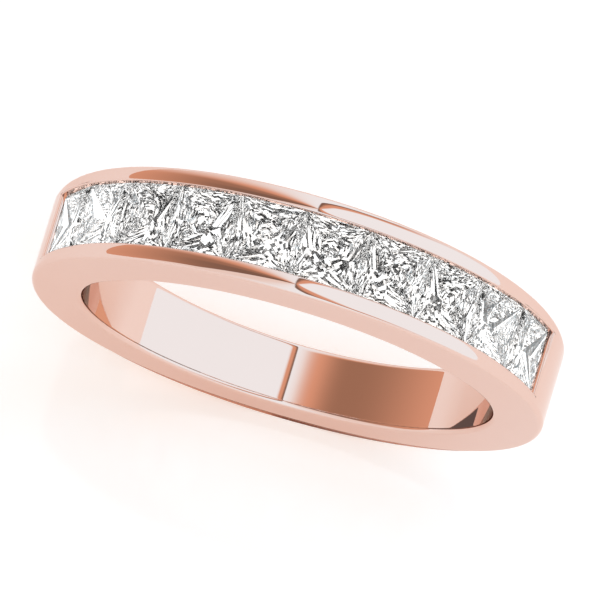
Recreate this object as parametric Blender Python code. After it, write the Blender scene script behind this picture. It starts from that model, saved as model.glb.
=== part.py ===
"""A channel-set wedding band: one cast band and ten square princess-cut stones.

The origin is the centre of the finger hole. +X runs across the row of stones, +Y along the finger,
and +Z up through the middle of the row. Lengths are in metres, and angles are measured from +Z
towards +X.
"""

from math import atan, atan2, cos, hypot, pi, radians, sin, tan, tau

import bmesh
import bpy
from mathutils import Matrix, Vector

MM = 0.001

# Finger hole: US size 7
HOLE_RADIUS = 8.67 * MM
HOLE_EDGE_ROUND = 0.15 * MM

# Outer form: a circle that is a little taller than wide, with full shoulders
OUTER_RADIUS = 11.1 * MM
OUTER_CENTRE_Z = 0.34 * MM
OUTER_TALLER = 0.21 * MM
OUTER_SHOULDERS = 0.075 * MM
OUTER_EDGE_ROUND = 0.2 * MM

# Side faces: two flat planes, wider apart at the stones than at the back of the finger
HALF_WIDTH_AT_HOLE_CENTRE = 1.68 * MM
HALF_WIDTH_TAPER = 0.0355

# Row of stones, on a circle of its own above the hole's centre
STONE_COUNT = 10
STONE_PITCH = radians(14.79)
ROW_CENTRE_Z = 0.73 * MM
GIRDLE_CORNER_RADIUS = 10.52 * MM
STONE_GAP = 0.06 * MM
STONE_WIDTH_Y = 2.82 * MM

# Channel that holds the stones
CHANNEL_OPENING = 2.7 * MM
SEAT_CLEARANCE = 0.05 * MM
PAVILION_SLOT = 2.1 * MM
FLOOR_RADIUS = 8.87 * MM
END_CLEARANCE = 0.05 * MM

# Open windows behind the stones
WINDOW_SIZE = 1.6 * MM
WINDOW_LOW_RADIUS = 7.4 * MM
WINDOW_HIGH_RADIUS = 9.1 * MM

# Fineness of the curves
BAND_STEPS = 96
ROUND_STEPS = 3
CHANNEL_STEPS_PER_STONE = 4

# Princess cut, as shares of the stone's half width: a low crown over a deep pavilion
TABLE_HEIGHT = 0.08
GIRDLE_THICKNESS = 0.06
CROWN_ANGLE = radians(28)
CROWN_CORNER_FACET = (radians(22), radians(18))
PAVILION_ANGLE = radians(60)
# The pavilion's profile across a side: where each chevron facet takes over, and how steep it is there
CHEVRON_STARTS = (0.95, 0.90, 0.84, 0.77, 0.69, 0.60, 0.50, 0.38, 0.22)
CHEVRON_SLOPES = (1.52, 1.36, 1.23, 1.12, 1.03, 0.96, 0.90, 0.85, 0.81)

ROSE_GOLD = (0.83, 0.56, 0.47, 1.0)
DIAMOND = (0.95, 0.97, 1.0, 1.0)


def clear_scene():
    for item in list(bpy.data.objects):
        bpy.data.objects.remove(item, do_unlink=True)


def material(name, colour, roughness, metallic):
    made = bpy.data.materials.new(name)
    made.use_nodes = True
    shader = made.node_tree.nodes["Principled BSDF"]
    shader.inputs["Base Color"].default_value = colour
    shader.inputs["Roughness"].default_value = roughness
    shader.inputs["Metallic"].default_value = metallic
    made.diffuse_color = colour
    return made


def new_object(name, bm, finish=None):
    """Turns a bmesh into an object with outward faces; without a finish it is a hidden cutter."""
    bmesh.ops.recalc_face_normals(bm, faces=bm.faces)
    mesh = bpy.data.meshes.new(name)
    bm.to_mesh(mesh)
    bm.free()
    made = bpy.data.objects.new(name, mesh)
    bpy.context.collection.objects.link(made)
    if finish:
        mesh.materials.append(finish)
    else:
        made.hide_render = True
        made.display_type = "WIRE"
    return made


def loft(rings, closed):
    """Skins rings of equal length with quads, and closes on itself or gets a cap at each end."""
    bm = bmesh.new()
    loops = [[bm.verts.new(point) for point in ring] for ring in rings]
    pairs = list(zip(loops, loops[1:]))
    if closed:
        pairs.append((loops[-1], loops[0]))
    else:
        bm.faces.new(loops[0])
        bm.faces.new(loops[-1])
    for here, there in pairs:
        for i in range(len(here)):
            bm.faces.new((here[i - 1], here[i], there[i], there[i - 1]))
    return bm


def on_circle(centre_z, radius, angle, y=0.0):
    return Vector((radius * sin(angle), y, centre_z + radius * cos(angle)))


def half_width(z):
    """Distance of the flat side faces from the middle plane at height z."""
    return HALF_WIDTH_AT_HOLE_CENTRE + HALF_WIDTH_TAPER * z


def outer_radius(angle):
    return OUTER_RADIUS + OUTER_TALLER * cos(2 * angle) - OUTER_SHOULDERS * cos(4 * angle)


def band_section(angle):
    """The band's outline at one angle, with its four edges rounded."""
    inner = on_circle(0.0, HOLE_RADIUS, angle)
    outer = on_circle(OUTER_CENTRE_Z, outer_radius(angle), angle)
    # Each edge: where it starts, its way into the metal, its radius, and which side face it is on
    outward = outer - inner
    thickness = outward.length
    outward.normalize()
    hole_edge = (0.0, 1, HOLE_EDGE_ROUND)
    outer_edge = (thickness, -1, OUTER_EDGE_ROUND)
    points = []
    for side, edges in ((-1, (hole_edge, outer_edge)), (1, (outer_edge, hole_edge))):
        for rising, (start, inward, radius) in zip((True, False), edges):
            for step in range(ROUND_STEPS + 1):
                turn = pi / 2 * (step if rising else ROUND_STEPS - step) / ROUND_STEPS
                point = inner + outward * (start + inward * radius * (1 - cos(turn)))
                point.y = side * (half_width(point.z) - radius * (1 - sin(turn)))
                points.append(point)
    return points


def girdle_radius_at_middle():
    """Distance from the row's centre to the top of the girdle, at the middle of a stone."""
    return GIRDLE_CORNER_RADIUS * cos(STONE_PITCH / 2)


def stone_width_x():
    return 2 * GIRDLE_CORNER_RADIUS * sin(STONE_PITCH / 2) - STONE_GAP


def channel_section(angle):
    """The channel's outline: a slot for the stones' points, a seat, a groove for their girdles, a lip."""
    groove = STONE_WIDTH_Y / 2 + SEAT_CLEARANCE
    slot = PAVILION_SLOT / 2
    girdle = GIRDLE_THICKNESS * stone_width_x() / 2
    groove_low = girdle_radius_at_middle() - girdle - SEAT_CLEARANCE
    groove_high = GIRDLE_CORNER_RADIUS + SEAT_CLEARANCE
    seat_low = groove_low - (groove - slot) * tan(PAVILION_ANGLE)
    above_band = OUTER_RADIUS + 2 * MM
    one_side = (
        (slot, FLOOR_RADIUS),
        (slot, seat_low),
        (groove, groove_low),
        (groove, groove_high),
        (CHANNEL_OPENING / 2, groove_high),
        (CHANNEL_OPENING / 2, above_band),
    )
    outline = list(one_side) + [(-y, radius) for y, radius in reversed(one_side)]
    return [on_circle(ROW_CENTRE_Z, radius, angle, y) for y, radius in outline]


def stone_angles():
    middle = (STONE_COUNT - 1) / 2
    return [(i - middle) * STONE_PITCH for i in range(STONE_COUNT)]


def channel_cutter():
    half_span = STONE_COUNT * STONE_PITCH / 2 + END_CLEARANCE / GIRDLE_CORNER_RADIUS
    steps = STONE_COUNT * CHANNEL_STEPS_PER_STONE
    angles = [half_span * (2 * i / steps - 1) for i in range(steps + 1)]
    return new_object("channel_cutter", loft([channel_section(angle) for angle in angles], closed=False))


def window_cutter():
    bm = bmesh.new()
    middle_radius = (WINDOW_LOW_RADIUS + WINDOW_HIGH_RADIUS) / 2
    size = (WINDOW_SIZE, WINDOW_SIZE, WINDOW_HIGH_RADIUS - WINDOW_LOW_RADIUS)
    for angle in stone_angles():
        place = Matrix.Translation(on_circle(ROW_CENTRE_Z, middle_radius, angle))
        turned = place @ Matrix.Rotation(angle, 4, "Y") @ Matrix.Diagonal((*size, 1.0))
        bmesh.ops.create_cube(bm, size=1.0, matrix=turned)
    return new_object("window_cutter", bm)


def cut(target, cutter):
    boolean = target.modifiers.new(cutter.name, "BOOLEAN")
    boolean.operation = "DIFFERENCE"
    boolean.solver = "EXACT"
    boolean.object = cutter


def make_band(finish):
    sections = [band_section(tau * i / BAND_STEPS) for i in range(BAND_STEPS)]
    band = new_object("band", loft(sections, closed=True), finish)
    band.data.shade_smooth()
    band.data.set_sharp_from_angle(angle=radians(35))
    cut(band, channel_cutter())
    cut(band, window_cutter())
    return band


def cut_facet(bm, point, normal):
    """Cuts away what lies beyond a plane and closes the cut, as a lapidary grinds one facet."""
    geometry = bm.verts[:] + bm.edges[:] + bm.faces[:]
    result = bmesh.ops.bisect_plane(
        bm, geom=geometry, plane_co=point, plane_no=normal, clear_outer=True, dist=1e-6
    )
    rim = [item for item in result["geom_cut"] if isinstance(item, bmesh.types.BMEdge)]
    bmesh.ops.edgeloop_fill(bm, edges=[edge for edge in rim if edge.is_boundary])


def facet_normal(slope, side_angle, upward):
    """Outward normal of a facet that leans by slope from the girdle's plane, facing side_angle."""
    level = sin(slope)
    return Vector((level * cos(side_angle), level * sin(side_angle), upward * cos(slope)))


def chevron_facets():
    """Slope and swing of each pavilion facet that runs through a corner, from the profile."""
    facets = []
    reach = 1.0
    depth = 0.0
    slope = tan(PAVILION_ANGLE)
    for start, new_slope in zip(CHEVRON_STARTS, CHEVRON_SLOPES):
        depth += slope * (reach - start)
        reach = start
        slope = new_slope
        depth_at_side = depth - slope * (1 - start)
        facets.append((atan(hypot(slope, depth_at_side)), atan2(depth_at_side, slope)))
    return facets


def princess_cut():
    """The cut stone as a mesh: the top of its girdle at z = 0, its table towards +Z."""
    bm = bmesh.new()
    bmesh.ops.create_cube(bm, size=2.0, matrix=Matrix.Diagonal((1.0, 1.0, 2.0, 1.0)))
    cut_facet(bm, (0, 0, TABLE_HEIGHT), (0, 0, 1))
    girdle_low = Vector((0, 0, -GIRDLE_THICKNESS))
    for quarter in range(4):
        facing = quarter * pi / 2
        side = Vector((cos(facing), sin(facing), 0))
        along = Vector((-sin(facing), cos(facing), 0))
        cut_facet(bm, side, facet_normal(CROWN_ANGLE, facing, 1))
        cut_facet(bm, side + girdle_low, facet_normal(PAVILION_ANGLE, facing, -1))
        for turn in (-1, 1):
            corner = side + along * turn
            slope, swing = CROWN_CORNER_FACET
            cut_facet(bm, corner, facet_normal(slope, facing + turn * swing, 1))
            for slope, swing in chevron_facets():
                cut_facet(bm, corner + girdle_low, facet_normal(slope, facing + turn * swing, -1))
    half_x = stone_width_x() / 2
    bmesh.ops.scale(bm, vec=(half_x, STONE_WIDTH_Y / 2, half_x), verts=bm.verts)
    return bm


def make_stones(finish):
    first = new_object("stone_01", princess_cut(), finish)
    for i, angle in enumerate(stone_angles()):
        stone = first if i == 0 else bpy.data.objects.new(f"stone_{i + 1:02d}", first.data)
        if i:
            bpy.context.collection.objects.link(stone)
        stone.location = on_circle(ROW_CENTRE_Z, girdle_radius_at_middle(), angle)
        stone.rotation_euler = (0, angle, 0)


def main():
    clear_scene()
    make_band(material("rose_gold", ROSE_GOLD, roughness=0.08, metallic=1.0))
    make_stones(material("diamond", DIAMOND, roughness=0.0, metallic=0.0))


main()
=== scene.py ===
"""The look of the channel-set wedding band: polished rose gold, cut diamonds, studio light and camera.

Angles round the band are measured from +Z towards +X, about the centre of the row of stones.
"""

from math import asin, atan2, cos, hypot, pi, radians, sin, sqrt, tan

import bmesh
import bpy
from mathutils import Matrix, Vector


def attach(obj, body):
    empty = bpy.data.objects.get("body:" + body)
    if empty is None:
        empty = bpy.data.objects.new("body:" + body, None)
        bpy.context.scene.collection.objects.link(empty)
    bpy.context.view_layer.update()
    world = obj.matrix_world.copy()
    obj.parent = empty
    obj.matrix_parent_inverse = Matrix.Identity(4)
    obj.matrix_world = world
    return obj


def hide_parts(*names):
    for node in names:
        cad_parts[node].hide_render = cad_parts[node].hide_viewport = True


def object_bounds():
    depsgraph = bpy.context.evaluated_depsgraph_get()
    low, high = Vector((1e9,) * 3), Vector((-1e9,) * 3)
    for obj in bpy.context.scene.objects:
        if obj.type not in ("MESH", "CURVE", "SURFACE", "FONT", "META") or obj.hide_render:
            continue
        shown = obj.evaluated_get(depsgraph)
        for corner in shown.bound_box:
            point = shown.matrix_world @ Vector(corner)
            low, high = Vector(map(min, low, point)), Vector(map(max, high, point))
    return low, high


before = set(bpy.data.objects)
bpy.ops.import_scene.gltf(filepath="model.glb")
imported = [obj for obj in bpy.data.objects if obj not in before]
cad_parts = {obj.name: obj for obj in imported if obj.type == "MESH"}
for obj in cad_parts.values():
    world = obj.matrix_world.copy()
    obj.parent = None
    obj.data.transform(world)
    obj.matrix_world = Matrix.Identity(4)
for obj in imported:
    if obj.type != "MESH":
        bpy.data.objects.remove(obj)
cad_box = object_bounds()

MM = 0.001

# The band's sizes, as in the CAD model
HOLE_RADIUS = 8.67 * MM
HOLE_EDGE_ROUND = 0.2 * MM
HOLE_EDGE_ROUND_AT_ROW = 0.08 * MM
OUTER_RADIUS = 11.1 * MM
OUTER_CENTRE_Z = 0.34 * MM
OUTER_TALLER = 0.21 * MM
OUTER_SHOULDERS = 0.075 * MM
OUTER_EDGE_ROUND = 0.2 * MM
HALF_WIDTH_AT_HOLE_CENTRE = 1.68 * MM
HALF_WIDTH_TAPER = 0.0355
CHANNEL_OPENING = 2.7 * MM
SEAT_CLEARANCE = 0.05 * MM
PAVILION_SLOT = 2.1 * MM
FLOOR_RADIUS = 8.87 * MM
END_CLEARANCE = 0.05 * MM
WINDOW_SIZE = 1.6 * MM

# The stones' sizes, as in the CAD model. The girdle's thickness is a share of half a stone's width
STONE_COUNT = 10
STONE_PITCH = radians(14.79)
ROW_CENTRE_Z = 0.73 * MM
GIRDLE_CORNER_RADIUS = 10.52 * MM
STONE_GAP = 0.06 * MM
STONE_WIDTH_Y = 2.82 * MM
GIRDLE_THICKNESS = 0.06
PAVILION_ANGLE = radians(60)

# Finish of the fine band and stones
RAIL_DOME_RADIUS = 0.73 * MM
RAIL_TOP_FROM_MOUTH = 0.27 * MM
DOME_FULL_UNTIL = radians(56)
DOME_GONE_AT = radians(74)
MOUTH_ROUND = 0.07 * MM
END_OVERHANG = 0.076 * MM
WINDOW_ROUND_SHARE = 0.3
SUPPORT = 0.03 * MM
SHARP_EDGE = radians(32)
TOUCHING_GAP = 0.001 * MM

# Fineness of the fine band
ROUND_STEPS = 10
DOME_STEPS = 6
MOUTH_ROUND_STEPS = 5
WINDOW_STEPS = 16
BAR_STEPS = 3
SHANK_STEPS = 336
FIRST_SHANK_STEP = 0.25 * MM
OUTER_PASSES = 12
TILT_PASSES = 8

# The lip is the first points of the channel's wall
LIP_POINTS = 2

# A stone's lower girdle corners are the points this near its height, and past this share of its half width
GIRDLE_NEAR = 0.01 * MM
CORNER_SHARE = 0.98

# Colours of the materials
ROSE_GOLD = (0.81, 0.565, 0.485, 1.0)
ROSE_GOLD_EDGE = (0.938, 0.834, 0.792, 1.0)
WORN_SHARE = 0.985
MIRRORED_GOLD = (0.3, 0.3, 0.3, 1.0)
CLEAR = (1.0, 1.0, 1.0, 1.0)
CLOUDED = (0.97, 0.98, 1.0, 1.0)
# The floor's cool base colour, with faint grain, and its warm glow add up to white in the open, and make a
# painted pink glow where the ring shades the floor
FLOOR_COOL_TINT_AND_GRAIN = ((0.61, 0.9, 0.98, 1.0), (0.63, 0.92, 1.0, 1.0))
FLOOR_GLOW = (0.56, 0.27, 0.155, 1.0)
BLACK = (0.0, 0.0, 0.0, 1.0)

# Scales of the textures, per metre, but the hairlines' first is per radian round the band
HAIRLINE_SCALES = (3.0, 9000.0, 9000.0)
SMEAR_SCALE = 450.0
WAVE_SCALE = 1100.0
CLOUD_SCALE = 1500.0
RIPPLE_SCALE = 6000.0
GRAIN_SCALE = 700.0

GOLD_WAVE_DEPTH = 0.0006 * MM
STONE_RIPPLE_DEPTH = 0.0002 * MM
GOLD_ROUGHNESS = 0.022
SMEAR_ROUGHNESS = 0.02
HAIRLINE_ROUGHNESS = 0.03
HAIRLINE_HEIGHT = 0.03
DIAMOND_IOR = 2.417
DIAMOND_SPECULAR_LEVEL = 0.15
FLOOR_MIRROR_SHARE = 0.05
FLOOR_MIRROR_ROUGHNESS = 0.06
FLOOR_SIZE = 2.0

# Colours of the studio's light
PALE = (1.0, 1.0, 1.0, 1.0)
WHITE = (1.075, 1.4, 1.6, 1.0)
ORANGE = (0.85, 0.5, 0.35, 1.0)
BROWN = (0.415, 0.255, 0.178, 1.0)
DARK = (0.26, 0.18, 0.14, 1.0)
SECOND_TURN_LEFT = (0.174, 0.22, 0.26, 1.0)
SECOND_TURN_RIGHT = (1.09, 0.96, 0.79, 1.0)
THIRD_TURN = (0.6, 0.75, 0.8, 1.0)
LATER_TURNS = (0.1, 0.15, 0.15, 1.0)
OFF_A_STONE = (0.2, 0.2, 0.2, 1.0)
WARM_SPARK = (1.9, 1.68, 1.48, 1.0)
COOL_SPARK = (1.64, 1.8, 1.92, 1.0)

# The studio's panels, in degrees of turn and tip
BROWN_PANEL = {"turns": (-91, 40), "tips": (-80, 62), "corner": 16, "front_corner": 16}
WHITE_PANEL = {"turns": (0.5, 92.5), "tips": (-41, 47), "corner": 20, "front_corner": 50}
WHITE_PANEL_RIM = {"turns": (-0.4, 110), "tips": (-60, 60), "corner": 20, "front_corner": 42}
FLECK_SCALE = 15.0
SPARK_SCALE = 11.0

LIGHT_BOUNCES = 16
CAMERA_AZIMUTH = radians(16.27)
CAMERA_ELEVATION = radians(74.27)
CAMERA_DISTANCE = 0.5
PIXELS_PER_METRE = 24600
IMAGE_WIDTH = 600
AIM_RIGHT = 0.093 * MM
AIM_UP = 0.79 * MM


# ---------------------------------------------------------------- the fine band


def half_width(z):
    return HALF_WIDTH_AT_HOLE_CENTRE + HALF_WIDTH_TAPER * z


def place(angle, radius, y):
    """A point at an angle and radius about the centre of the row of stones."""
    return Vector((radius * sin(angle), y, ROW_CENTRE_Z + radius * cos(angle)))


def hole_reach(angle):
    """Distance from the row's centre to the finger hole's wall."""
    along = ROW_CENTRE_Z * cos(angle)
    return -along + sqrt(along**2 + HOLE_RADIUS**2 - ROW_CENTRE_Z**2)


def outer_reach(angle):
    """Distance from the row's centre to the band's outer surface."""
    reach = OUTER_RADIUS
    for _ in range(OUTER_PASSES):
        x = reach * sin(angle)
        z = ROW_CENTRE_Z + reach * cos(angle) - OUTER_CENTRE_Z
        turn = atan2(x, z)
        surface = OUTER_RADIUS + OUTER_TALLER * cos(2 * turn) - OUTER_SHOULDERS * cos(4 * turn)
        reach += surface - hypot(x, z)
    return reach


def doming(angle):
    """How domed the rails' tops are: fully along the row, not at all where the shank begins."""
    t = (abs(angle) - DOME_FULL_UNTIL) / (DOME_GONE_AT - DOME_FULL_UNTIL)
    t = min(max(t, 0.0), 1.0)
    return 1 - t * t * (3 - 2 * t)


def rail_chain(angle):
    """(y, radius) from the channel's mouth over the rail, down the side face and into the finger hole."""
    mouth = CHANNEL_OPENING / 2
    outer = outer_reach(angle)
    inner = hole_reach(angle)
    side = half_width(ROW_CENTRE_Z + (outer - OUTER_EDGE_ROUND) * cos(angle))
    dome = doming(angle)
    curve = dome / RAIL_DOME_RADIUS
    top = mouth + RAIL_TOP_FROM_MOUTH
    tilt = 0.0
    for _ in range(TILT_PASSES):
        dome_end = side - OUTER_EDGE_ROUND * (1 - sin(tilt))
        tilt = curve * (dome_end - top)
    points = []
    for i in range(DOME_STEPS + 1):
        y = mouth + (dome_end - mouth) * i / DOME_STEPS
        points.append((y, outer - curve / 2 * (y - top) ** 2))
    last = points[-1][1]
    for i in range(1, ROUND_STEPS + 1):
        turn = tilt + (pi / 2 - tilt) * i / ROUND_STEPS
        y = dome_end + OUTER_EDGE_ROUND * (sin(turn) - sin(tilt))
        points.append((y, last + OUTER_EDGE_ROUND * (cos(turn) - cos(tilt))))
    side_top = points[-1][1]
    hole_round = HOLE_EDGE_ROUND + (HOLE_EDGE_ROUND_AT_ROW - HOLE_EDGE_ROUND) * dome
    side_low = inner + hole_round
    for radius in (side_top - SUPPORT, side_low + SUPPORT):
        points.append((half_width(ROW_CENTRE_Z + radius * cos(angle)), radius))
    low_side = half_width(ROW_CENTRE_Z + side_low * cos(angle))
    for i in range(ROUND_STEPS + 1):
        turn = pi / 2 * i / ROUND_STEPS
        y = low_side - hole_round * (1 - cos(turn))
        points.append((y, side_low - hole_round * sin(turn)))
    points.append((low_side - hole_round - SUPPORT, inner))
    return points


def wall_chain():
    """(y, radius) from under the channel's mouth down to the floor: lip, groove, seat and slot."""
    groove = STONE_WIDTH_Y / 2 + SEAT_CLEARANCE
    slot = PAVILION_SLOT / 2
    stone_width = 2 * GIRDLE_CORNER_RADIUS * sin(STONE_PITCH / 2) - STONE_GAP
    girdle_low = GIRDLE_CORNER_RADIUS * cos(STONE_PITCH / 2) - GIRDLE_THICKNESS * stone_width / 2
    groove_low = girdle_low - SEAT_CLEARANCE
    groove_high = GIRDLE_CORNER_RADIUS + SEAT_CLEARANCE
    return [
        (CHANNEL_OPENING / 2, groove_high),
        (groove, groove_high),
        (groove, groove_low),
        (slot, groove_low - (groove - slot) * tan(PAVILION_ANGLE)),
        (slot, FLOOR_RADIUS),
    ]


def band_lines():
    """Each cross-section's angle, the window edge that it is on, and the kind of stretch that follows it."""
    half_span = STONE_COUNT * STONE_PITCH / 2 + END_CLEARANCE / GIRDLE_CORNER_RADIUS
    window = asin(WINDOW_SIZE / 2 / hole_reach(0))
    lines = []
    for stone in range(STONE_COUNT):
        centre = (stone - (STONE_COUNT - 1) / 2) * STONE_PITCH
        start = -half_span if stone == 0 else centre - STONE_PITCH / 2
        end = half_span if stone == STONE_COUNT - 1 else centre + STONE_PITCH / 2
        for i in range(BAR_STEPS):
            lines.append((start + (centre - window - start) * i / BAR_STEPS, None, "bar"))
        for i in range(WINDOW_STEPS):
            edge = (centre, -1) if i == 0 else None
            lines.append((centre - window + 2 * window * i / WINDOW_STEPS, edge, "window"))
        for i in range(BAR_STEPS):
            edge = (centre, 1) if i == 0 else None
            lines.append((centre + window + (end - centre - window) * i / BAR_STEPS, edge, "bar"))
    lines.append((half_span, None, "shank"))
    first = half_span + FIRST_SHANK_STEP / OUTER_RADIUS
    last = 2 * pi - first
    for i in range(SHANK_STEPS + 1):
        lines.append((first + (last - first) * i / SHANK_STEPS, None, "shank"))
    return lines


def make_section(bm, line, before):
    """The points of one cross-section by name. before is the kind of stretch that leads up to it."""
    angle, window_edge, kind = line
    in_row = kind != "shank" or before != "shank"
    at_end = (kind == "shank") != (before == "shank")
    into_row = -1 if kind == "shank" else 1
    edge_radii = {"hole": hole_reach(angle)}
    if in_row:
        edge_radii["floor"] = FLOOR_RADIUS
    section = {}
    for side in (-1, 1):
        wrapped = (angle + pi) % (2 * pi) - pi
        for i, (y, radius) in enumerate(rail_chain(wrapped)):
            section["rail", side, i] = bm.verts.new(place(angle, radius, side * y))
        for name, radius in edge_radii.items():
            turned = angle
            if window_edge:
                centre, way = window_edge
                turned = centre + way * asin(WINDOW_SIZE / 2 / radius)
            section[name, side] = bm.verts.new(place(turned, radius, side * WINDOW_SIZE / 2))
        if in_row:
            for i, (y, radius) in enumerate(wall_chain()):
                lean = END_OVERHANG / radius if at_end and i < LIP_POINTS else 0.0
                turned = angle + into_row * lean
                section["wall", side, i] = bm.verts.new(place(turned, radius, side * y))
    return section


def stretches(sections, kinds):
    """The stretches round the band: kind, kind before, and the cross-sections at the start and the end."""
    for i, kind in enumerate(kinds):
        yield kind, kinds[i - 1], sections[i], sections[(i + 1) % len(sections)]


def skin_sections(bm, sections, kinds):
    """Joins the cross-sections by faces, and leaves the channel and the windows open."""
    rail_count = len(rail_chain(0))
    wall_count = len(wall_chain())

    def rail(side):
        return [("rail", side, i) for i in range(rail_count)] + [("hole", side)]

    def wall(side):
        return [("rail", side, 0)] + [("wall", side, i) for i in range(wall_count)] + [("floor", side)]

    def strip(here, there, names):
        for a, b in zip(names, names[1:]):
            bm.faces.new((here[a], here[b], there[b], there[a]))

    for kind, before, here, there in stretches(sections, kinds):
        for side in (-1, 1):
            strip(here, there, rail(side))
            if kind != "shank":
                strip(here, there, wall(side))
            if kind == "window":
                strip(here, there, [("floor", side), ("hole", side)])
        if kind != "window":
            strip(here, there, [("hole", -1), ("hole", 1)])
        if kind == "bar":
            strip(here, there, [("floor", -1), ("floor", 1)])
        if kind == "shank":
            strip(here, there, [("rail", -1, 0), ("rail", 1, 0)])
        if "window" in (kind, before) and kind != before:
            bm.faces.new([here[name] for name in (("floor", -1), ("floor", 1), ("hole", 1), ("hole", -1))])
        if "shank" in (kind, before) and kind != before:
            near, far = wall(-1), wall(1)
            bm.faces.new([here[name] for name in near[:2] + far[1::-1]])
            bm.faces.new([here[name] for name in near[1:] + far[:0:-1]])


def weigh_edges(bm, weight, sections, kinds):
    """Says how far the bevel rounds an edge: fully round the channel's mouth, a little round the windows."""

    def weigh(a, b, share):
        edge = bm.edges.get((a, b))
        if edge:
            edge[weight] = share

    for kind, before, here, there in stretches(sections, kinds):
        for side in (-1, 1):
            if kind != "shank":
                weigh(here["rail", side, 0], there["rail", side, 0], 1.0)
            if kind == "window":
                weigh(here["hole", side], there["hole", side], WINDOW_ROUND_SHARE)
        if "shank" in (kind, before) and kind != before:
            weigh(here["rail", -1, 0], here["rail", 1, 0], 1.0)
        if "window" in (kind, before) and kind != before:
            weigh(here["hole", -1], here["hole", 1], WINDOW_ROUND_SHARE)


def fine_band(finish):
    """The band with domed rails and rounded edges, built from cross-sections that go once round it."""
    bm = bmesh.new()
    weight = bm.edges.layers.float.new("bevel_weight_edge")
    lines = band_lines()
    kinds = [kind for _, _, kind in lines]
    sections = [make_section(bm, line, kinds[i - 1]) for i, line in enumerate(lines)]
    skin_sections(bm, sections, kinds)
    bmesh.ops.recalc_face_normals(bm, faces=bm.faces)
    weigh_edges(bm, weight, sections, kinds)
    mesh = bpy.data.meshes.new("polished_band")
    bm.to_mesh(mesh)
    bm.free()
    mesh.materials.append(finish)
    mesh.shade_smooth()
    mesh.set_sharp_from_angle(angle=SHARP_EDGE)
    made = bpy.data.objects.new("polished_band", mesh)
    bpy.context.scene.collection.objects.link(made)
    bevel = made.modifiers.new("rounded_edges", "BEVEL")
    bevel.limit_method = "WEIGHT"
    bevel.width = MOUTH_ROUND
    bevel.segments = MOUTH_ROUND_STEPS
    bevel.use_clamp_overlap = False
    bevel.harden_normals = True
    return made


# ---------------------------------------------------------------- the set stones


def set_stone(index, finish):
    """A copy of one CAD stone, widened along the row until it all but touches the next."""
    name = f"stone_{index + 1:02d}"
    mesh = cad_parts[name].data.copy()
    mesh.name = f"set_{name}"
    mesh.materials.clear()
    mesh.materials.append(finish)
    angle = (index - (STONE_COUNT - 1) / 2) * STONE_PITCH
    seat = Matrix.Translation(place(angle, GIRDLE_CORNER_RADIUS * cos(STONE_PITCH / 2), 0))
    turned = seat @ Matrix.Rotation(angle, 4, "Y")
    touching = 2 * GIRDLE_CORNER_RADIUS * sin(STONE_PITCH / 2)
    widen = (touching - TOUCHING_GAP) / (touching - STONE_GAP)
    mesh.transform(turned.inverted())
    mesh.transform(Matrix.Diagonal((widen, 1, 1, 1)))
    # The girdle's sides lean so that two neighbours meet flat
    girdle_low = -GIRDLE_THICKNESS * (touching - STONE_GAP) / 2
    lean = tan(STONE_PITCH / 2) * girdle_low
    for vertex in mesh.vertices:
        at_girdle_low = abs(vertex.co.z - girdle_low) < GIRDLE_NEAR
        if at_girdle_low and abs(vertex.co.x) > CORNER_SHARE * touching / 2:
            vertex.co.x += lean if vertex.co.x > 0 else -lean
    mesh.transform(turned)
    stone = bpy.data.objects.new(f"set_{name}", mesh)
    bpy.context.scene.collection.objects.link(stone)
    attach(stone, "root")
    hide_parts(name)


# ---------------------------------------------------------------- node trees


class Graph:
    """Short calls for building a node tree. Most return an output socket of the new node."""

    def __init__(self, tree):
        self.tree = tree

    def feed(self, socket, value):
        if isinstance(value, bpy.types.NodeSocket):
            self.tree.links.new(value, socket)
        else:
            socket.default_value = value

    def node(self, kind, **settings):
        made = self.tree.nodes.new(kind)
        for name, value in settings.items():
            setattr(made, name, value)
        return made

    def coordinates(self, kind):
        return self.node("ShaderNodeTexCoord").outputs[kind]

    def axes(self, vector):
        """The x, y and z sockets of a vector."""
        made = self.node("ShaderNodeSeparateXYZ")
        self.feed(made.inputs[0], vector)
        return made.outputs

    def light_path(self, kind):
        return self.node("ShaderNodeLightPath").outputs[kind]

    def math(self, operation, *values):
        made = self.node("ShaderNodeMath", operation=operation)
        for socket, value in zip(made.inputs, values):
            self.feed(socket, value)
        return made.outputs[0]

    def product(self, first, *others):
        for other in others:
            first = self.math("MULTIPLY", first, other)
        return first

    def step(self, value, low, high):
        """A smooth step from 0 at low to 1 at high."""
        made = self.node("ShaderNodeMapRange", interpolation_type="SMOOTHSTEP")
        for name, given in (("Value", value), ("From Min", low), ("From Max", high)):
            self.feed(made.inputs[name], given)
        return made.outputs["Result"]

    def noise(self, vector, scale, detail):
        made = self.node("ShaderNodeTexNoise")
        for name, given in (("Vector", vector), ("Scale", scale), ("Detail", detail)):
            self.feed(made.inputs[name], given)
        return made.outputs["Fac"]

    def bump(self, height, depth):
        made = self.node("ShaderNodeBump")
        made.inputs["Distance"].default_value = depth
        self.feed(made.inputs["Height"], height)
        return made.outputs["Normal"]

    def mix(self, share, first, second):
        made = self.node("ShaderNodeMix", data_type="RGBA")
        self.feed(made.inputs["Factor"], share)
        self.feed(made.inputs["A"], first)
        self.feed(made.inputs["B"], second)
        return made.outputs["Result"]


def new_material(name):
    """A new material, with its graph and its main shader."""
    made = bpy.data.materials.new(name)
    made.use_nodes = True
    return made, Graph(made.node_tree), made.node_tree.nodes["Principled BSDF"]


# ---------------------------------------------------------------- materials


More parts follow.
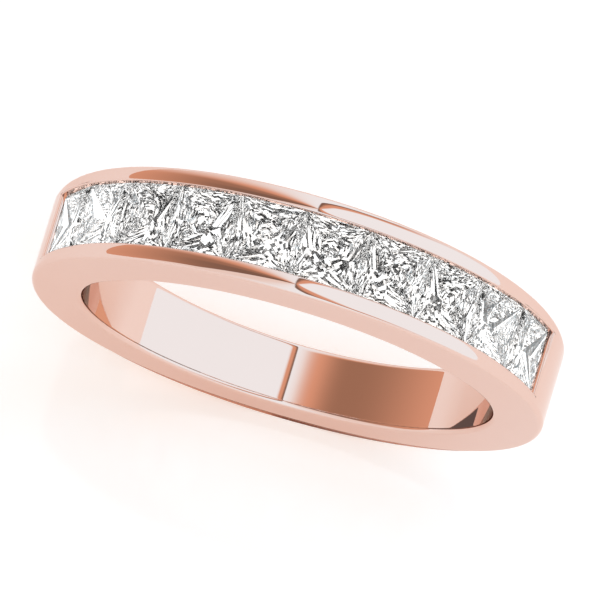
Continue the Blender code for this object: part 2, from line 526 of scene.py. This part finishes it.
def gold_material():
    """Mirror-polished rose gold: soft polishing waves, faint smears, and hairlines round the band."""
    made, g, shader = new_material("polished_rose_gold")
    spot = g.coordinates("Object")
    x, y, z = g.axes(spot)
    around = g.math("ARCTAN2", x, z)
    radius = g.math("SQRT", g.math("ADD", g.math("MULTIPLY", x, x), g.math("MULTIPLY", z, z)))
    along_band = g.node("ShaderNodeCombineXYZ")
    for socket, value, scale in zip(along_band.inputs, (around, y, radius), HAIRLINE_SCALES):
        g.feed(socket, g.math("MULTIPLY", value, scale))
    hairlines = g.noise(along_band.outputs[0], 1.0, 3.0)
    smears = g.noise(spot, SMEAR_SCALE, 4.0)
    waves = g.noise(spot, WAVE_SCALE, 1.0)
    roughness = g.math("MULTIPLY_ADD", g.step(smears, 0.45, 0.75), SMEAR_ROUGHNESS, GOLD_ROUGHNESS)
    roughness = g.math("MULTIPLY_ADD", g.step(hairlines, 0.6, 0.75), HAIRLINE_ROUGHNESS, roughness)
    g.feed(shader.inputs["Roughness"], roughness)
    worn = tuple(WORN_SHARE * share for share in ROSE_GOLD[:3]) + (1.0,)
    colour = g.mix(smears, ROSE_GOLD, worn)
    # Stones mirror the metal without its colour, as they do the studio
    g.feed(shader.inputs["Base Color"], g.mix(g.light_path("Is Singular Ray"), colour, MIRRORED_GOLD))
    height = g.math("MULTIPLY_ADD", hairlines, HAIRLINE_HEIGHT, waves)
    g.feed(shader.inputs["Normal"], g.bump(height, GOLD_WAVE_DEPTH))
    shader.inputs["Metallic"].default_value = 1.0
    shader.inputs["Specular Tint"].default_value = ROSE_GOLD_EDGE
    return made


def diamond_material():
    """Clear diamond: facets with the faintest polishing ripple, and a slight uneven clouding."""
    made, g, shader = new_material("diamond")
    spot = g.coordinates("Object")
    cloud = g.noise(spot, CLOUD_SCALE, 3.0)
    g.feed(shader.inputs["Base Color"], g.mix(cloud, CLEAR, CLOUDED))
    ripple = g.noise(spot, RIPPLE_SCALE, 1.0)
    g.feed(shader.inputs["Normal"], g.bump(ripple, STONE_RIPPLE_DEPTH))
    shader.inputs["Transmission Weight"].default_value = 1.0
    # Exactly smooth, because only then are its mirror rays singular, which the studio and the gold look for
    shader.inputs["Roughness"].default_value = 0.0
    shader.inputs["IOR"].default_value = DIAMOND_IOR
    shader.inputs["Specular IOR Level"].default_value = DIAMOND_SPECULAR_LEVEL
    return made


def floor_material():
    """A pale floor with a painted warm glow of its own over a cool base colour, so that it shows pink where
    the ring shades it, and a very faint mirror.
    """
    made, g, shader = new_material("white_floor")
    grain = g.noise(g.coordinates("Object"), GRAIN_SCALE, 3.0)
    # A cool base colour with faint grain, which the painted warm glow turns pink where the ring shades the
    # floor
    g.feed(shader.inputs["Base Color"], g.mix(grain, *FLOOR_COOL_TINT_AND_GRAIN))
    g.feed(shader.inputs["Roughness"], g.math("MULTIPLY_ADD", grain, 0.1, 0.9))
    shader.inputs["Specular IOR Level"].default_value = 0.0
    # A painted warm glow of the floor's own, which shows pink where the ring shades it
    shader.inputs["Emission Strength"].default_value = 1.0
    # Light that has turned three times between the metal's own surfaces finds no glow
    through_stone = g.light_path("Is Transmission Ray")
    deep = g.step(g.light_path("Glossy Depth"), 2.4, 2.6)
    deep = g.product(deep, g.math("SUBTRACT", 1.0, through_stone))
    g.feed(shader.inputs["Emission Color"], g.mix(deep, FLOOR_GLOW, BLACK))
    mirror = g.node("ShaderNodeBsdfGlossy")
    mirror.inputs["Roughness"].default_value = FLOOR_MIRROR_ROUGHNESS
    blend = g.node("ShaderNodeMixShader")
    g.feed(blend.inputs[0], FLOOR_MIRROR_SHARE)
    g.feed(blend.inputs[1], shader.outputs[0])
    g.feed(blend.inputs[2], mirror.outputs[0])
    g.feed(made.node_tree.nodes["Material Output"].inputs["Surface"], blend.outputs[0])
    return made


# ---------------------------------------------------------------- the studio


class Studio:
    """The light that comes from each direction. A direction's angles are sockets, in degrees.

    turn goes round the finger's axis, from overhead towards +X. away is the same towards -X.
    tip is the slope towards +Y. swing goes round the vertical, from -X towards +Y.
    """

    def __init__(self, tree):
        self.g = g = Graph(tree)
        self.direction = g.coordinates("Generated")
        x, y, z = g.axes(self.direction)
        self.turn = g.math("DEGREES", g.math("ARCTAN2", x, z))
        self.away = g.math("MULTIPLY", self.turn, -1.0)
        self.tip = g.math("DEGREES", g.math("ARCSINE", y))
        swing = g.math("ARCTAN2", g.math("ADD", y, 0.04), g.math("MULTIPLY", x, -1.0))
        self.swing = g.math("DEGREES", swing)

    def past_panel(self, turn, turns, tips, corner, front_corner):
        """Degrees outside a rounded panel, negative within. front_corner is at the low turn and low tip."""
        g = self.g
        low_turn, high_turn = turns
        low_tip, high_tip = tips
        off_turn = g.math("SUBTRACT", turn, (low_turn + high_turn) / 2)
        off_tip = g.math("SUBTRACT", self.tip, (low_tip + high_tip) / 2)
        low = g.product(g.math("LESS_THAN", off_turn, 0.0), g.math("LESS_THAN", off_tip, 0.0))
        radius = g.math("MULTIPLY_ADD", low, front_corner - corner, corner)
        across = g.math("SUBTRACT", g.math("ABSOLUTE", off_turn), (high_turn - low_turn) / 2)
        along = g.math("SUBTRACT", g.math("ABSOLUTE", off_tip), (high_tip - low_tip) / 2)
        across = g.math("ADD", across, radius)
        along = g.math("ADD", along, radius)
        outside_a = g.math("POWER", g.math("MAXIMUM", across, 0.0), 2.0)
        outside_b = g.math("POWER", g.math("MAXIMUM", along, 0.0), 2.0)
        outside = g.math("SQRT", g.math("ADD", outside_a, outside_b))
        inside = g.math("MINIMUM", g.math("MAXIMUM", across, along), 0.0)
        return g.math("SUBTRACT", g.math("ADD", outside, inside), radius)

    def dome(self):
        """A pale dome that whitens towards the line between the panels."""
        g = self.g
        overhead = g.step(g.math("ABSOLUTE", self.turn), 95.0, 60.0)
        line = g.step(g.math("ABSOLUTE", self.swing), 58.0, 92.0)
        return g.mix(g.product(overhead, line), PALE, WHITE)

    def add_brown_panel(self, colour):
        """A fan to the left about the point overhead, sharp at the front and soft at the back."""
        g = self.g
        fan = g.mix(g.step(self.away, 36.0, 100.0), BROWN, ORANGE)
        core = g.product(g.step(self.swing, 24.0, 0.0), g.step(self.away, 62.0, 22.0))
        fan = g.mix(core, fan, DARK)
        fan = g.mix(g.step(self.swing, 30.0, 54.0), fan, ORANGE)
        lean = g.math("MULTIPLY", g.step(self.away, 35.0, 90.0), 22.0)
        back = g.step(g.math("SUBTRACT", self.swing, lean), 78.0, 50.0)
        front = g.step(self.swing, -41.0, -36.0)
        low = g.step(self.tip, 64.0, 26.0)
        within = g.step(self.past_panel(self.turn, **BROWN_PANEL), 1.0, -1.0)
        return g.mix(g.product(back, front, low, within), colour, fan)

    def add_white_panel(self, colour):
        """A white panel to the right, with a dark and orange rim that is widest overhead."""
        g = self.g
        slant = g.product(g.math("MAXIMUM", self.tip, 0.0), g.step(self.turn, 60.0, 25.0))
        slanted = g.math("MULTIPLY_ADD", slant, -0.18, self.turn)
        inner = self.past_panel(slanted, **WHITE_PANEL)
        outer = self.past_panel(self.turn, **WHITE_PANEL_RIM)
        share = g.math("DIVIDE", inner, g.math("SUBTRACT", inner, outer))
        blackness = g.product(g.step(share, 0.55, 0.9), g.step(self.turn, 75.0, 25.0))
        rim = g.mix(blackness, ORANGE, DARK)
        rim = g.mix(g.step(share, 0.3, 0.0), rim, PALE)
        strength = g.product(g.step(outer, 0.3, -0.3), g.step(self.turn, 90.0, 35.0))
        colour = g.mix(strength, colour, rim)
        return g.mix(g.step(inner, 0.8, -0.8), colour, WHITE)

    def add_later_turns(self, colour):
        """What light finds after it has turned several times between the metal's own surfaces."""
        g = self.g
        depth = g.product(g.light_path("Glossy Depth"), g.light_path("Is Glossy Ray"))
        second = g.mix(g.step(self.turn, -5.0, 5.0), SECOND_TURN_LEFT, SECOND_TURN_RIGHT)
        colour = g.mix(g.step(depth, 1.4, 1.6), colour, second)
        colour = g.mix(g.step(depth, 2.4, 2.6), colour, THIRD_TURN)
        return g.mix(g.step(depth, 3.4, 3.6), colour, LATER_TURNS)

    def add_stone_light(self, colour):
        """Grey for light off a stone, and a neutral dome with dark flecks for light from inside one."""
        g = self.g
        flecks = g.step(g.noise(self.direction, FLECK_SCALE, 2.0), 0.465, 0.53)
        spark = g.mix(g.noise(self.direction, SPARK_SCALE, 1.0), WARM_SPARK, COOL_SPARK)
        neutral = g.mix(flecks, BLACK, spark)
        colour = g.mix(g.light_path("Is Singular Ray"), colour, OFF_A_STONE)
        return g.mix(g.light_path("Is Transmission Ray"), colour, neutral)


def light_studio():
    world = bpy.data.worlds.new("studio")
    bpy.context.scene.world = world
    world.use_nodes = True
    studio = Studio(world.node_tree)
    colour = studio.dome()
    colour = studio.add_brown_panel(colour)
    colour = studio.add_white_panel(colour)
    colour = studio.add_later_turns(colour)
    colour = studio.add_stone_light(colour)
    background = world.node_tree.nodes["Background"]
    studio.g.feed(background.inputs["Color"], colour)
    background.inputs["Strength"].default_value = 1.0


# ---------------------------------------------------------------- floor and camera


def lay_floor(height):
    bm = bmesh.new()
    bmesh.ops.create_grid(bm, x_segments=1, y_segments=1, size=FLOOR_SIZE)
    mesh = bpy.data.meshes.new("floor")
    bm.to_mesh(mesh)
    bm.free()
    mesh.materials.append(floor_material())
    made = bpy.data.objects.new("floor", mesh)
    made.location.z = height
    made.visible_transmission = False
    bpy.context.scene.collection.objects.link(made)


def place_camera():
    """A long lens that looks at a point given by its offsets from the origin in the picture plane."""
    data = bpy.data.cameras.new("camera")
    made = bpy.data.objects.new("camera", data)
    bpy.context.scene.collection.objects.link(made)
    level = cos(CAMERA_ELEVATION)
    back = Vector((sin(CAMERA_AZIMUTH) * level, -cos(CAMERA_AZIMUTH) * level, sin(CAMERA_ELEVATION)))
    right = Vector((cos(CAMERA_AZIMUTH), sin(CAMERA_AZIMUTH), 0))
    up = back.cross(right)
    position = back * CAMERA_DISTANCE + right * AIM_RIGHT + up * AIM_UP
    turn = Matrix((right, up, back)).transposed().to_4x4()
    made.matrix_world = Matrix.Translation(position) @ turn
    data.lens = PIXELS_PER_METRE * CAMERA_DISTANCE / IMAGE_WIDTH * data.sensor_width
    data.clip_start = CAMERA_DISTANCE / 100
    data.clip_end = CAMERA_DISTANCE * 100
    bpy.context.scene.camera = made


scene = bpy.context.scene
scene.view_settings.view_transform = "Standard"
scene.cycles.max_bounces = LIGHT_BOUNCES
scene.cycles.glossy_bounces = LIGHT_BOUNCES
scene.cycles.transmission_bounces = LIGHT_BOUNCES

band = fine_band(gold_material())
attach(band, "root")
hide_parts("band")
# Light inside the stones passes the metal by, and finds the neutral dome
band.visible_transmission = False

diamond = diamond_material()
for stone_index in range(STONE_COUNT):
    set_stone(stone_index, diamond)

light_studio()
lay_floor(cad_box[0].z)
place_camera()
